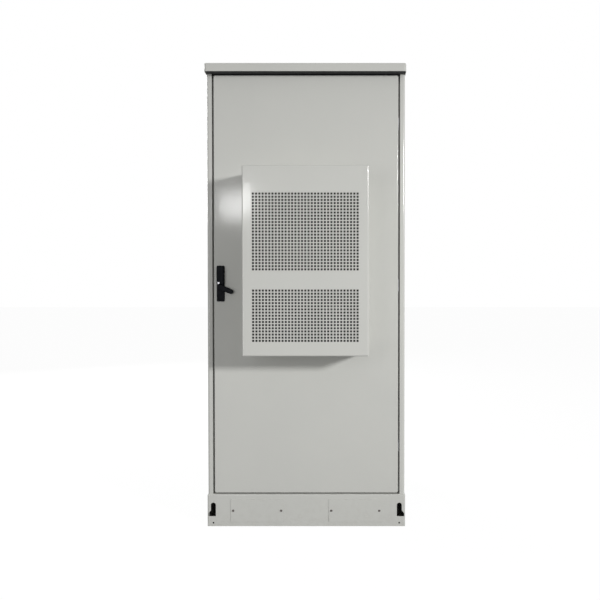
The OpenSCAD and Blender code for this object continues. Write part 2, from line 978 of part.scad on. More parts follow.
module condenser_fan() {
    back = part_y + plate_t + motor_h + fan_gap;
    color(dark)
    translate([ac_x, -hd - back, ac_z + fan_z])
    difference() {
        union() {
            bar_y(fan_hub_r, -fan_hub_h, 0);
            for (i = [0:blade_count - 1])
                rotate([0, i * 360 / blade_count, 0])
                translate([fan_hub_r - blade_t, -fan_hub_h / 2, 0]) rotate([blade_pitch, 0, 0])
                    translate([0, -blade_t / 2, -blade_w / 2])
                    cube([fan_r - fan_hub_r, blade_t, blade_w]);
        }
        bar_y(shaft_r + run_fit, -shaft_deep - run_fit, cut);
    }
}

module blower_motor() {
    color(dark)
    translate([ac_x, -hd - part_y, ac_z + blower_z]) {
        bar_y(blower_motor_r, 0, blower_motor_h);
        bar_y(shaft_r, 0, blower_motor_h + blower_gap + shaft_deep);
    }
}

module blower_wheel() {
    front = blower_motor_h + blower_gap;
    color(alloy)
    translate([ac_x, front - hd - part_y, ac_z + blower_z])
    difference() {
        union() {
            bar_y(blower_r, 0, blower_web);
            bar_y(blower_hub_r, 0, shaft_deep + blower_web);
            difference() {
                bar_y(blower_r, blower_h - blower_web, blower_h);
                bar_y(blower_r - blower_blade_d, blower_h - blower_web - cut, blower_h + cut);
            }
            for (i = [0:blower_blades - 1])
                rotate([0, i * 360 / blower_blades, 0])
                    translate([blower_r - blower_blade_d + blower_ring / 4, blower_web / 2, 0])
                    cube([blower_blade_d - blower_ring / 2, blower_h - blower_web, blower_blade_t]);
        }
        bar_y(shaft_r + run_fit, -cut, shaft_deep + run_fit);
    }
}

// Lock

module handle_base() {
    color(dark)
    difference() {
        translate([lock_x, -hd, lock_z]) {
            translate([0, 0, (base_high - base_low) / 2]) rotate([90, 0, 0])
                crown(base_w, base_low + base_high, base_t, base_r, base_corner);
            translate([0, 0, (boss_z + base_high - boss_in) / 2]) rotate([90, 0, 0])
                crown(boss_w, base_high - boss_in - boss_z, boss_t, boss_r, base_corner);
        }
        translate([lock_x, pocket_deep - hd - base_t, lock_z - (pocket_top + base_low - pocket_rim) / 2])
            rotate([90, 0, 0]) linear_extrude(pocket_deep + cut)
            plan_outline(pocket_w, base_low - pocket_rim - pocket_top, pocket_corner);
        translate([lock_x, 0, lock_z]) bar_y(spindle_r + run_fit, -hd - base_t - cut, cut - hd);
        translate([lock_x + plug_x, 0, lock_z + plug_z])
            bar_y(plug_r + run_fit, -hd - boss_t - cut, plug_deep - hd - boss_t);
    }
}

module key_plug() {
    face = -hd - boss_t - plug_proud;
    color(steel)
    translate([lock_x + plug_x, 0, lock_z + plug_z])
    difference() {
        bar_y(plug_r, face, plug_deep - hd - boss_t);
        block([-key_w / 2, face - cut, -key_h / 2], [key_w / 2, face + key_deep, key_h / 2]);
    }
}

// the lever seen from the front: a hub, a rounded tip and the straight sides that touch both
module lever_outline() {
    reach = lever_len - lever_tip_r;
    slant = asin((hub_r - lever_tip_r) / reach);
    circle(hub_r);
    translate([reach, 0]) circle(lever_tip_r);
    polygon([
        [hub_r * sin(slant), hub_r * cos(slant)],
        [hub_r * sin(slant), -hub_r * cos(slant)],
        [reach + lever_tip_r * sin(slant), -lever_tip_r * cos(slant)],
        [reach + lever_tip_r * sin(slant), lever_tip_r * cos(slant)]]);
}

// the lever seen along its edge, thicker towards the tip
module lever_side() {
    polygon([
        [-hub_r, 0],
        [lever_len, 0],
        [lever_len, -lever_t],
        [hub_r, -lever_root_t],
        [-hub_r, -lever_root_t]]);
}

module swing_lever() {
    back = -hd - base_t - clear;
    color(dark)
    translate([lock_x, 0, lock_z]) rotate([0, lever_drop, 0])
    difference() {
        intersection() {
            translate([0, back, 0]) rotate([90, 0, 0]) linear_extrude(lever_t) lever_outline();
            translate([0, back, -hub_r]) linear_extrude(2 * hub_r) lever_side();
        }
        bar_y(spindle_r + run_fit, back - spindle_deep - run_fit, back + cut);
    }
}

// angle between an involute's start and its point at radius r, in degrees
function inv_at(r) = let (t = acos(min(1, gear_br / r))) tan(t) * 180 / PI - t;

// half a tooth's angle at radius r
function half_tooth(r) = (90 / gear_n) - gear_backlash / gear_pr * 90 / PI
    + inv_at(gear_pr) - inv_at(max(r, gear_br));

// points of one tooth, up one flank and down the other
function tooth(a) = let (
        low = max(gear_rr, gear_br),
        rs = [for (k = [0:flank_steps]) low + (gear_or - low) * k / flank_steps],
        up = [for (r = rs) [r * cos(a - half_tooth(r)), r * sin(a - half_tooth(r))]],
        back = [for (k = [flank_steps:-1:0]) rs[k]],
        down = [for (r = back) [r * cos(a + half_tooth(r)), r * sin(a + half_tooth(r))]],
        half = half_tooth(low),
        foot0 = [[gear_rr * cos(a - half), gear_rr * sin(a - half)]],
        foot1 = [[gear_rr * cos(a + half), gear_rr * sin(a + half)]])
    concat(foot0, up, down, foot1);

module lock_pinion() {
    color(steel)
    translate([lock_x, rod_y, lock_z])
    union() {
        translate([0, gear_t / 2, 0]) rotate([90, 0, 0]) linear_extrude(gear_t)
            polygon([for (i = [0:gear_n - 1], p = tooth(i * 360 / gear_n)) p]);
        bar_y(spindle_r, -hd - base_t - clear - spindle_deep - rod_y, gear_t);
    }
}

// a flat rod with a rack at its foot, on the pivot's -X side, its tip up; len is from the pivot to the tip
module rack_rod(len) {
    x0 = -gear_pr - gear_root;
    half_tip = rack_pitch / 4 - gear_m * tan(gear_angle) - gear_backlash / 2;
    half_foot = rack_pitch / 4 + gear_root * tan(gear_angle) - gear_backlash / 2;
    translate([0, rod_t / 2, 0]) rotate([90, 0, 0]) linear_extrude(rod_t)
    union() {
        translate([x0 - rod_w, -rod_tail]) square([rod_w, rod_tail + len]);
        for (k = [-rack_down:rack_up - 1])
            translate([0, (k + 1 / 2) * rack_pitch])
                polygon([
                    [x0 - rod_w / 2, -half_foot],
                    [x0, -half_foot],
                    [gear_m - gear_pr, -half_tip],
                    [gear_m - gear_pr, half_tip],
                    [x0, half_foot],
                    [x0 - rod_w / 2, half_foot]]);
    }
}

module upper_lock_rod() {
    color(steel) translate([lock_x, rod_y, lock_z]) rack_rod(up_tip - lock_z);
}

module lower_lock_rod() {
    color(steel) translate([lock_x, rod_y, lock_z]) rotate([0, 180, 0]) rack_rod(lock_z - low_tip);
}

// the clear way of a rod through a wall, relative to the pivot
module rod_way(z0, z1) {
    mid = -gear_pr - gear_root - rod_w / 2;
    block([mid - rod_w / 2 - clear, rod_y - rod_t / 2 - clear, z0],
        [mid + rod_w / 2 + clear, rod_y + rod_t / 2 + clear, z1]);
}

module gearbox_case() {
    color(steel)
    translate([lock_x, 0, lock_z])
    difference() {
        block([-case_half_w, skin_y, -case_half_h], [case_half_w, skin_y + case_back, case_half_h]);
        block([case_wall - case_half_w, skin_y + case_wall, case_wall - case_half_h],
            [case_half_w - case_wall, skin_y + case_back + cut, case_half_h - case_wall]);
        bar_y(spindle_r + run_fit, skin_y - cut, skin_y + case_wall + cut);
        rod_way(case_half_h - case_wall - cut, case_half_h + cut);
        rotate([0, 180, 0]) rod_way(case_half_h - case_wall - cut, case_half_h + cut);
    }
}

module gearbox_cover() {
    color(steel)
    translate([lock_x, skin_y + case_back, lock_z])
        block([-case_half_w, 0, -case_half_h], [case_half_w, case_wall, case_half_h]);
}

// one guide block round a rod, at z above the pivot
module rod_guide(z) {
    mid = -gear_pr - gear_root - rod_w / 2;
    difference() {
        block([mid - guide_w / 2, skin_y, z],
            [mid + guide_w / 2, rod_y + rod_t / 2 + guide_wall, z + guide_h]);
        rod_way(z - cut, z + guide_h + cut);
    }
}

module rod_guides() {
    color(rubber)
    translate([lock_x, 0, lock_z])
    for (share = guide_shares) {
        rod_guide(share * (up_tip - lock_z));
        rotate([0, 180, 0]) rod_guide(share * (lock_z - low_tip));
    }
}

// a hooked catch that a rod's tip slides behind, relative to the pivot; tip is the rod's tip
module lock_catch(tip) {
    mid = -gear_pr - gear_root - rod_w / 2;
    x0 = mid - rod_w / 2;
    x1 = mid + rod_w / 2;
    front = rod_y - rod_t / 2 - cut;
    z0 = tip + catch_lift;
    z1 = z0 + catch_deep;
    block([x0, front - catch_finger, z0], [x1, front, z1 + catch_t]);
    block([x0, front - catch_finger, z1], [x1, gutter_y, z1 + catch_t]);
    block([x0, gutter_y - catch_t, z1], [x1, gutter_y, z1 + catch_foot]);
}

module upper_lock_catch() {
    color(steel) translate([lock_x, 0, lock_z]) union() lock_catch(up_tip - lock_z);
}

module lower_lock_catch() {
    color(steel) translate([lock_x, 0, lock_z]) rotate([0, 180, 0]) union() lock_catch(lock_z - low_tip);
}

plinth();
fork_cover_front_left();
fork_cover_front_right();
fork_cover_rear_left();
fork_cover_rear_right();
fork_cover_screws();
plinth_bolts();
floor_panel();
gland_plate();
cable_glands();
left_side_panel();
right_side_panel();
rear_panel();
left_rear_post();
right_rear_post();
left_door_jamb();
right_door_jamb();
door_header();
door_sill();
top_panel();
roof_spacers();
roof_cover();
front_left_rail();
front_right_rail();
rear_left_rail();
rear_right_rail();
earth_bar();
earth_bar_insulators();
hinge_frame_leaves();
upper_lock_catch();
lower_lock_catch();
door_panel();
door_gasket();
door_stiffeners();
hinge_door_leaves();
hinge_pins();
rod_guides();
handle_base();
gearbox_case();
gearbox_cover();
return_air_grille();
supply_air_grille();
ac_chassis();
ac_cover();
ac_cover_screws();
ac_partition();
condenser_coil();
evaporator_coil();
compressor();
condenser_fan_motor();
blower_motor();
swing_lever();
lock_pinion();
upper_lock_rod();
lower_lock_rod();
key_plug();
condenser_fan();
blower_wheel();
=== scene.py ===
import math

import bmesh
import bpy
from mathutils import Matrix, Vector


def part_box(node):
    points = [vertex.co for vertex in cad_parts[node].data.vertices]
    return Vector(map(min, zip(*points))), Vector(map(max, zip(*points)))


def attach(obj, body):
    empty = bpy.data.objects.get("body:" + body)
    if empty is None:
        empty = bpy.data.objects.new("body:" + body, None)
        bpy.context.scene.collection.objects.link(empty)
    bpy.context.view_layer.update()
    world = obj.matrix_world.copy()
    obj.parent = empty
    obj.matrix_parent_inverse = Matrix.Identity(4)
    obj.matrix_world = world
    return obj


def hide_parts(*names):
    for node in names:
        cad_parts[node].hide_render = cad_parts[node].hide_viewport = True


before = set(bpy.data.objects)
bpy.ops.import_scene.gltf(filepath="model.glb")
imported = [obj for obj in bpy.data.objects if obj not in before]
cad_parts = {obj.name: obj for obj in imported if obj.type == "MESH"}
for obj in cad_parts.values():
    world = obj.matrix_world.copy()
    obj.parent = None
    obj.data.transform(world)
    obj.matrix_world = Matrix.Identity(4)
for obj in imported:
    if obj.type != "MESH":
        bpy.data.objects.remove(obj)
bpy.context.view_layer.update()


# Plinth.
# A ring folded from steel sheet, welded at the corners and powder coated a pale grey, which bakes
# to a fine orange peel over slow ripples. It is bolted down to a concrete pad, so rain splashes
# grit up its lower edge.

class Wire:
    """A socket in a node tree: arithmetic adds Math nodes, and make adds any other node."""

    def __init__(self, tree, socket=None):
        self.tree = tree
        self.socket = socket

    def make(self, kind, settings=None, sockets=None, out=0):
        node = self.tree.nodes.new(kind)
        for key, value in (settings or {}).items():
            setattr(node, key, value)
        for key, value in (sockets or {}).items():
            if isinstance(value, Wire):
                self.tree.links.new(value.socket, node.inputs[key])
            else:
                node.inputs[key].default_value = value
        return Wire(self.tree, node.outputs[out]) if node.outputs else node

    def maths(self, operation, first, second):
        return self.make("ShaderNodeMath", {"operation": operation}, {0: first, 1: second})

    def __add__(self, other):
        return self.maths("ADD", self, other)

    def __radd__(self, other):
        return self.maths("ADD", other, self)

    def __sub__(self, other):
        return self.maths("SUBTRACT", self, other)

    def __rsub__(self, other):
        return self.maths("SUBTRACT", other, self)

    def __mul__(self, other):
        return self.maths("MULTIPLY", self, other)

    def __rmul__(self, other):
        return self.maths("MULTIPLY", other, self)

    def along(self, axis):
        """One part of this vector: 0 is X, 1 is Y and 2 is Z."""
        return self.make("ShaderNodeSeparateXYZ", {}, {0: self}, out=axis)

    def between(self, low, high):
        """0 at low and below, 1 at high and above."""
        return self.make("ShaderNodeMapRange", {}, {
            "Value": self, "From Min": low, "From Max": high})

    def noise(self, per_metre, detail=2.0, stretch=(1, 1, 1)):
        """Noise on this vector, with about so many spots to a metre."""
        where = self.make("ShaderNodeMapping", {}, {"Vector": self, "Scale": stretch})
        return self.make("ShaderNodeTexNoise", {}, {
            "Vector": where, "Scale": per_metre, "Detail": detail})

    def blend(self, low, high):
        """A colour between low and high, at this share."""
        return self.make("ShaderNodeMix", {"data_type": "RGBA"}, {0: self, 6: low, 7: high}, out=2)

    def bump(self, depth, strength=1.0):
        """A surface that this height raises, by the depth in metres where it is 1."""
        return self.make("ShaderNodeBump", {}, {
            "Height": self, "Distance": depth, "Strength": strength})


def finish(name, **constants):
    """A new material, its shader node, and a wire of each point's place on the object."""
    material = bpy.data.materials.new(name)
    material.use_nodes = True
    shader = material.node_tree.nodes["Principled BSDF"]
    for key, value in constants.items():
        shader.inputs[key.replace("_", " ")].default_value = value
    return material, shader, Wire(material.node_tree).make("ShaderNodeTexCoord", out=3)


def feed(shader, **wires):
    """Links each wire to the shader's input of that name."""
    for key, wire in wires.items():
        wire.tree.links.new(wire.socket, shader.inputs[key.replace("_", " ")])


def dress(material, *nodes):
    """Gives CAD nodes one material."""
    for node in nodes:
        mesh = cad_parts[node].data
        mesh.materials.clear()
        mesh.materials.append(material)


PAINT_PALE = (0.585, 0.587, 0.553, 1)
PAINT_DEEP = (0.553, 0.556, 0.527, 1)
CLOUD_SHARE = 0.7
FLECK_SHARE = 0.3
STREAK_SHARE = 0.08
DRAWN_DOWN = (1, 1, 0.035)
ROAD_GRIT = (0.30, 0.275, 0.235, 1)
GRIT_HEIGHT = 0.16
GRIT_SHARE = 0.14
PEEL_SIZE = 0.003
PEEL_DEPTH = 0.00002
RIPPLE_SIZE = 0.02
RIPPLE_DEPTH = 0.00014
PAINT_ROUGH = 0.09
CLOUD_ROUGH = 0.05
GRIT_ROUGH = 0.3

powder_coat, shader, place = finish("powder_coat", IOR=1.5)
cloud = place.noise(per_metre=2.6, detail=4.0)
fleck = place.noise(per_metre=420.0)
streak = place.noise(per_metre=34.0, detail=3.0, stretch=DRAWN_DOWN).between(0.52, 0.78)
splash = 1 - place.along(2).between(0.0, GRIT_HEIGHT)
grit = splash * place.noise(per_metre=46.0, detail=5.0).between(0.46, 0.74)
mottle = cloud.between(0.3, 0.7) * CLOUD_SHARE + fleck.between(0.35, 0.65) * FLECK_SHARE
tint = mottle.blend(PAINT_DEEP, PAINT_PALE)
tint = (streak * STREAK_SHARE).blend(tint, PAINT_DEEP)
tint = (grit * GRIT_SHARE).blend(tint, ROAD_GRIT)
peel = place.noise(per_metre=1 / PEEL_SIZE) * PEEL_DEPTH
ripple = place.noise(per_metre=1 / RIPPLE_SIZE, detail=1.0) * RIPPLE_DEPTH
feed(shader, Base_Color=tint, Roughness=PAINT_ROUGH + cloud * CLOUD_ROUGH + grit * GRIT_ROUGH,
     Normal=(peel + ripple).bump(depth=1.0))
dress(powder_coat, "plinth")


# Fork pocket covers and their screws.
# Flat painted plates close the slots that a fork lift uses. Each is held by two button-head steel
# screws with a hexagon socket, blackened, which go through the plate into the plinth's sheet.

BLACKENED = (0.11, 0.098, 0.092, 1)
BLACKENED_RUBBED = (0.22, 0.20, 0.19, 1)
BLACKENED_ROUGH = 0.36
BLACKENED_RUBBED_ROUGH = 0.2
blackened_steel, shader, place = finish("blackened_steel", Metallic=0.6)
rubbed = place.noise(per_metre=520.0, detail=3.0).between(0.45, 0.7)
feed(shader, Base_Color=rubbed.blend(BLACKENED, BLACKENED_RUBBED),
     Roughness=BLACKENED_ROUGH + rubbed * BLACKENED_RUBBED_ROUGH)


def group(name, *sizes):
    """A Geometry Nodes tree with a geometry input and named sizes, and a wire for each input."""
    tree = bpy.data.node_groups.new(name, "GeometryNodeTree")
    face = tree.interface
    face.new_socket("Geometry", in_out="INPUT", socket_type="NodeSocketGeometry")
    face.new_socket("Geometry", in_out="OUTPUT", socket_type="NodeSocketGeometry")
    for size in sizes:
        face.new_socket(size, in_out="INPUT", socket_type="NodeSocketFloat")
    face.new_socket("Finish", in_out="INPUT", socket_type="NodeSocketMaterial")
    entry = tree.nodes.new("NodeGroupInput")
    return tree, {socket.name: Wire(tree, socket) for socket in entry.outputs if socket.name}


def close(tree, shape, material):
    """Ends a tree in one real mesh of one material."""
    real = shape.make("GeometryNodeRealizeInstances", {}, {"Geometry": shape})
    real = real.make("GeometryNodeSetMaterial", {}, {"Geometry": real, "Material": material})
    leave = tree.nodes.new("NodeGroupOutput")
    tree.links.new(real.socket, leave.inputs[0])


def linked(name, data):
    """A new object in the scene."""
    thing = bpy.data.objects.new(name, data)
    bpy.context.scene.collection.objects.link(thing)
    return thing


def settled(thing):
    """A plain mesh of the thing, with what its modifiers do."""
    view = bpy.context.evaluated_depsgraph_get()
    return bpy.data.meshes.new_from_object(thing.evaluated_get(view), depsgraph=view)


def grown(name, mesh, tree, **inputs):
    """A plain mesh piece, made by running the tree on a starting mesh."""
    start = linked(name + "_start", mesh)
    modifier = start.modifiers.new("grow", "NODES")
    modifier.node_group = tree
    for item in tree.interface.items_tree:
        if item.in_out == "INPUT" and item.name in inputs:
            modifier[item.identifier] = inputs[item.name]
    plain = settled(start)
    plain.name = name
    bpy.data.objects.remove(start)
    return linked(name, plain)


SCREW_SIDES = 20
HEX_SIDES = 6
HEAD_TOP_SHARE = 0.72
SOCKET_SHARE = 0.46
SOCKET_DEPTH_SHARE = 0.6

# The head stands on its base. The socket's cylinder is as tall, and starts centred on the base.
screw_tree, size = group("button_head_screws", "radius", "height")
head = size["radius"].make("GeometryNodeMeshCone", {"fill_type": "NGON"}, {
    "Vertices": SCREW_SIDES, "Radius Bottom": size["radius"],
    "Radius Top": size["radius"] * HEAD_TOP_SHARE, "Depth": size["height"]})
key_hole = head.make("GeometryNodeMeshCylinder", {"fill_type": "NGON"}, {
    "Vertices": HEX_SIDES, "Radius": size["radius"] * SOCKET_SHARE, "Depth": size["height"]})
lift = head.make("ShaderNodeCombineXYZ", {}, {"Z": size["height"] * (1.5 - SOCKET_DEPTH_SHARE)})
key_hole = head.make("GeometryNodeTransform", {}, {"Geometry": key_hole, "Translation": lift})
head = head.make("GeometryNodeMeshBoolean", {"operation": "DIFFERENCE"}, {
    "Mesh 1": head, "Mesh 2": key_hole})
facing = head.make("GeometryNodeInputNamedAttribute", {"data_type": "FLOAT_VECTOR"}, {
    "Name": "facing"})
turn = head.make("FunctionNodeAlignRotationToVector", {"axis": "Z"}, {"Vector": facing})
heads = head.make("GeometryNodeInstanceOnPoints", {}, {
    "Points": size["Geometry"], "Instance": head, "Rotation": turn})
close(screw_tree, heads, size["Finish"])


def screws(name, spots, radius, height, material):
    """Screw heads, each at a spot and facing out of it."""
    mesh = bpy.data.meshes.new(name)
    mesh.from_pydata([spot for spot, facing in spots], [], [])
    facings = mesh.attributes.new("facing", "FLOAT_VECTOR", "POINT")
    for slot, (spot, facing) in zip(facings.data, spots):
        slot.vector = facing
    return grown(name, mesh, screw_tree, radius=radius, height=height, Finish=material)


FORK_SCREW_R = 0.0048
FORK_SCREW_H = 0.003
FORK_SCREW_IN = 0.010
fork_low, fork_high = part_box("fork_cover_front_right")
fork_z = (fork_low.z + fork_high.z) / 2
fork_spots = []
for side in (-1, 1):
    for front in (-1, 1):
        for x in (fork_low.x + FORK_SCREW_IN, fork_high.x - FORK_SCREW_IN):
            fork_spots.append(((side * x, front * -fork_low.y, fork_z), (0, front, 0)))
fork_screws = screws("fork_screw_heads", fork_spots, FORK_SCREW_R, FORK_SCREW_H, blackened_steel)
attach(fork_screws, "cabinet")
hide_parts("fork_cover_screws")
dress(blackened_steel, "fork_cover_screws")
dress(powder_coat, "fork_cover_front_left", "fork_cover_front_right", "fork_cover_rear_left",
      "fork_cover_rear_right")


# Floor.
# A flat painted steel plate, which lies on the plinth and is held down by four zinc-plated bolts.
# The plating is bright where it is new and clouds over as it ages.

ZINC_PALE = (0.72, 0.73, 0.74, 1)
ZINC_DULL = (0.52, 0.53, 0.55, 1)
ZINC_ROUGH = 0.30
BLOOM_ROUGH = 0.22
ZINC_GRAIN_ROUGH = 0.08
zinc_plate, shader, place = finish("zinc_plate", Metallic=0.9)
grain = place.noise(per_metre=260.0, detail=3.0)
bloom = place.noise(per_metre=38.0, detail=4.0).between(0.4, 0.68)
feed(shader, Base_Color=bloom.blend(ZINC_PALE, ZINC_DULL),
     Roughness=ZINC_ROUGH + bloom * BLOOM_ROUGH + grain * ZINC_GRAIN_ROUGH,
     Normal=grain.bump(depth=0.00004, strength=0.3))
dress(powder_coat, "floor_panel")
dress(zinc_plate, "plinth_bolts")


# Cable entry.
# A removable plate of mill-finish aluminium closes the hole in the floor, and six moulded nylon
# glands screw through it. The plate keeps the long marks of the rolls that it came from.

MILL_PALE = (0.74, 0.75, 0.76, 1)
MILL_DARK = (0.58, 0.59, 0.61, 1)
MILL_ROUGH = 0.28
ROLLING_ROUGH = 0.2
ROLLED_ALONG = (0.03, 1, 1)
mill_aluminium, shader, place = finish("mill_aluminium", Metallic=0.95)
rolling = place.noise(per_metre=420.0, stretch=ROLLED_ALONG)
feed(shader, Base_Color=rolling.blend(MILL_DARK, MILL_PALE),
     Roughness=MILL_ROUGH + rolling * ROLLING_ROUGH,
     Normal=rolling.bump(depth=0.00002, strength=0.3))
dress(mill_aluminium, "gland_plate")

NYLON = (0.0022, 0.0028, 0.0045, 1)
NYLON_RUBBED = (0.005, 0.006, 0.009, 1)
NYLON_ROUGH = 0.46
NYLON_RUBBED_SMOOTH = 0.14
NYLON_GRAIN_ROUGH = 0.1
NYLON_GRAIN_SIZE = 0.0006
black_nylon, shader, place = finish("black_nylon", Specular_IOR_Level=0.07)
grain = place.noise(per_metre=1 / NYLON_GRAIN_SIZE)
rubbed = place.noise(per_metre=70.0, detail=3.0).between(0.45, 0.7)
feed(shader, Base_Color=rubbed.blend(NYLON, NYLON_RUBBED),
     Roughness=NYLON_ROUGH - rubbed * NYLON_RUBBED_SMOOTH + grain * NYLON_GRAIN_ROUGH,
     Normal=grain.bump(depth=0.00003, strength=0.5))
dress(black_nylon, "cable_glands")


# Body shell.
# Painted side and rear sheets, stiffened by two folded corner posts at the back. The rear sheet
# comes off: two rows of button-head screws hold it to the posts.

REAR_SCREW_R = 0.006
REAR_SCREW_H = 0.003
REAR_SCREW_IN = 0.024
REAR_SCREW_UP = 0.048
REAR_SCREW_DOWN = 0.096
REAR_SCREW_ROWS = 7
rear_low, rear_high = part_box("rear_panel")
lowest = rear_low.z + REAR_SCREW_UP
highest = rear_high.z - REAR_SCREW_DOWN
rear_spots = []
for row in range(REAR_SCREW_ROWS):
    z = lowest + (highest - lowest) * row / (REAR_SCREW_ROWS - 1)
    for x in (rear_low.x + REAR_SCREW_IN, rear_high.x - REAR_SCREW_IN):
        rear_spots.append(((x, rear_high.y, z), (0, 1, 0)))
rear_screws = screws("rear_screw_heads", rear_spots, REAR_SCREW_R, REAR_SCREW_H, zinc_plate)
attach(rear_screws, "cabinet")
dress(powder_coat, "left_side_panel", "right_side_panel", "rear_panel", "left_rear_post",
      "right_rear_post")


# Rack rails.
# Four angles folded from hot-dip galvanised strip, with square holes punched at the rack spacing,
# left unpainted. The zinc freezes in large flat crystals, each of its own grey.

SPANGLE_SIZE = 0.014
SPANGLE_PALE = (0.66, 0.68, 0.70, 1)
SPANGLE_DARK = (0.44, 0.46, 0.49, 1)
GALVANISED_ROUGH = 0.36
SPANGLE_ROUGH = 0.16
galvanised, shader, place = finish("galvanised_sheet", Metallic=0.85)
spangle = place.make("ShaderNodeTexVoronoi", {"feature": "F1"}, {
    "Vector": place, "Scale": 1 / SPANGLE_SIZE}, out=1)
shade = place.make("ShaderNodeSeparateColor", {}, {0: spangle})
feed(shader, Base_Color=shade.blend(SPANGLE_DARK, SPANGLE_PALE),
     Roughness=GALVANISED_ROUGH + shade * SPANGLE_ROUGH)
dress(galvanised, "front_left_rail", "front_right_rail", "rear_left_rail", "rear_right_rail")


# Earth bar.
# A flat copper bar drilled for cable lugs, held off the rear sheet by two posts of red cast resin.
# The copper has browned where no lug has rubbed it.

COPPER_BRIGHT = (0.72, 0.36, 0.20, 1)
COPPER_BROWN = (0.30, 0.14, 0.08, 1)
COPPER_ROUGH = 0.22
TARNISH_ROUGH = 0.3
bar_copper, shader, place = finish("bar_copper", Metallic=1.0)
tarnish = place.noise(per_metre=55.0, detail=5.0).between(0.38, 0.66)
feed(shader, Base_Color=tarnish.blend(COPPER_BRIGHT, COPPER_BROWN),
     Roughness=COPPER_ROUGH + tarnish * TARNISH_ROUGH)
dress(bar_copper, "earth_bar")

RESIN_RED = (0.36, 0.035, 0.025, 1)
RESIN_DARK = (0.24, 0.02, 0.015, 1)
RESIN_ROUGH = 0.3
SWIRL_ROUGH = 0.12
cast_resin, shader, place = finish("cast_resin")
swirl = place.noise(per_metre=90.0, detail=3.0)
feed(shader, Base_Color=swirl.blend(RESIN_DARK, RESIN_RED),
     Roughness=RESIN_ROUGH + swirl * SWIRL_ROUGH)
dress(cast_resin, "earth_bar_insulators")


# Door frame.
# Two jambs, a header and a sill folded from painted sheet, with a rain gutter and a lip that the
# door's seal closes on. They are welded into one frame round the opening.

dress(powder_coat, "left_door_jamb", "right_door_jamb", "door_header", "door_sill")


# Roof.
# A flat inner panel and a folded outer cover with rounded edges, painted, held apart by four
# zinc-plated spacers so that air can pass between them in the sun.

dress(powder_coat, "top_panel", "roof_cover")
dress(zinc_plate, "roof_spacers")


# Shade flap.
# A strip cut from black rubber sheet and glued under the header's fold. It reaches forward to the
# roof's edge above the door; its black is painted shade, darkening the gap under the roof's lip.

RUBBER = (0.010, 0.010, 0.011, 1)
RUBBER_GREY = (0.028, 0.028, 0.030, 1)
RUBBER_ROUGH = 0.75
PORE_ROUGH = 0.15
seal_rubber, shader, place = finish("seal_rubber")
pore = place.noise(per_metre=700.0)
feed(shader, Base_Color=pore.blend(RUBBER, RUBBER_GREY), Roughness=RUBBER_ROUGH + pore * PORE_ROUGH,
     Normal=pore.bump(depth=0.0001, strength=0.4))

DOOR_TOP_GAP = 0.007
ROOF_SHEET = 0.0015
FLAP_T = 0.0024
FLAP_DEEP = 0.027
FLAP_CLEAR = 0.001
FLAP_SIDE_IN = 0.0045
FLAP_CORNER = 0.0065
header_low, header_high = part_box("door_header")
roof_low, roof_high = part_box("roof_cover")
fold_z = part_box("door_panel")[1].z + DOOR_TOP_GAP
flap_front = roof_low.y + ROOF_SHEET + FLAP_CLEAR
flap_side = roof_high.x - FLAP_SIDE_IN
fold_side = header_high.x - FLAP_CLEAR
fold_front = header_low.y - FLAP_CLEAR
half_outline = [
    (flap_side - FLAP_CORNER, flap_front), (flap_side, flap_front + FLAP_CORNER),
    (flap_side, fold_front), (fold_side, fold_front), (fold_side, header_low.y + FLAP_DEEP)]
flap_outline = half_outline + [(-x, y) for x, y in reversed(half_outline)]
flap_shape = bmesh.new()
under = [flap_shape.verts.new((x, y, fold_z - FLAP_T)) for x, y in flap_outline]
over = [flap_shape.verts.new((x, y, fold_z)) for x, y in flap_outline]
flap_shape.faces.new(under)
flap_shape.faces.new(over)
for i in range(len(flap_outline)):
    flap_shape.faces.new((under[i - 1], under[i], over[i], over[i - 1]))
bmesh.ops.recalc_face_normals(flap_shape, faces=flap_shape.faces)
flap_mesh = bpy.data.meshes.new("shade_flap")
flap_shape.to_mesh(flap_mesh)
flap_shape.free()
# The black rubber here is painted shade for the gap under the roof's lip.
flap_mesh.materials.append(seal_rubber)
shade_flap = linked("shade_flap", flap_mesh)
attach(shade_flap, "cabinet")


# Hinges.
# Three concealed hinges at the right: steel leaves, zinc plated, with an arm on the frame's and two
# ears on the door's, fixed flat to the sheet and joined by turned pins.

dress(zinc_plate, "hinge_frame_leaves", "hinge_door_leaves", "hinge_pins")


# Door.
# One painted sheet folded to a shallow pan with rounded corners, stiffened inside by two folded hat
# sections. Two slotted plates inside cover its openings for the air conditioner's air.

dress(powder_coat, "door_panel", "door_stiffeners", "return_air_grille", "supply_air_grille")


# Door seal.
# One length of black foamed rubber, a rounded bulb on a flat foot, glued round the inside of the
# door with bent corners. It meets the frame's lip and keeps rain out.

SEAL_W = 0.012
SEAL_BEND = 0.016
BEND_STEPS = 6
BULB_STEPS = 10

seal_tree, size = group("bulb_seal", "width", "height", "foot", "bulb", "bend")
path = size["width"].make("GeometryNodeCurvePrimitiveQuadrilateral", {}, {
    "Width": size["width"], "Height": size["height"]})
path = path.make("GeometryNodeFilletCurve", {"mode": "POLY"}, {
    "Curve": path, "Count": BEND_STEPS, "Radius": size["bend"]})
half_round = path.make("GeometryNodeCurveArc", {}, {
    "Resolution": BULB_STEPS, "Radius": 1.0, "Start Angle": 0.0, "Sweep Angle": math.pi})
half_round = path.make("GeometryNodeSetSplineCyclic", {}, {
    "Geometry": half_round, "Cyclic": True})
stretch = path.make("ShaderNodeCombineXYZ", {}, {
    "X": size["foot"] * 0.5, "Y": size["bulb"], "Z": 1.0})
half_round = path.make("GeometryNodeTransform", {}, {"Geometry": half_round, "Scale": stretch})
bulb = path.make("GeometryNodeCurveToMesh", {}, {"Curve": path, "Profile Curve": half_round})
upright = path.make("GeometryNodeTransform", {}, {
    "Geometry": bulb, "Rotation": (math.pi / 2, 0, 0)})
close(seal_tree, upright, size["Finish"])

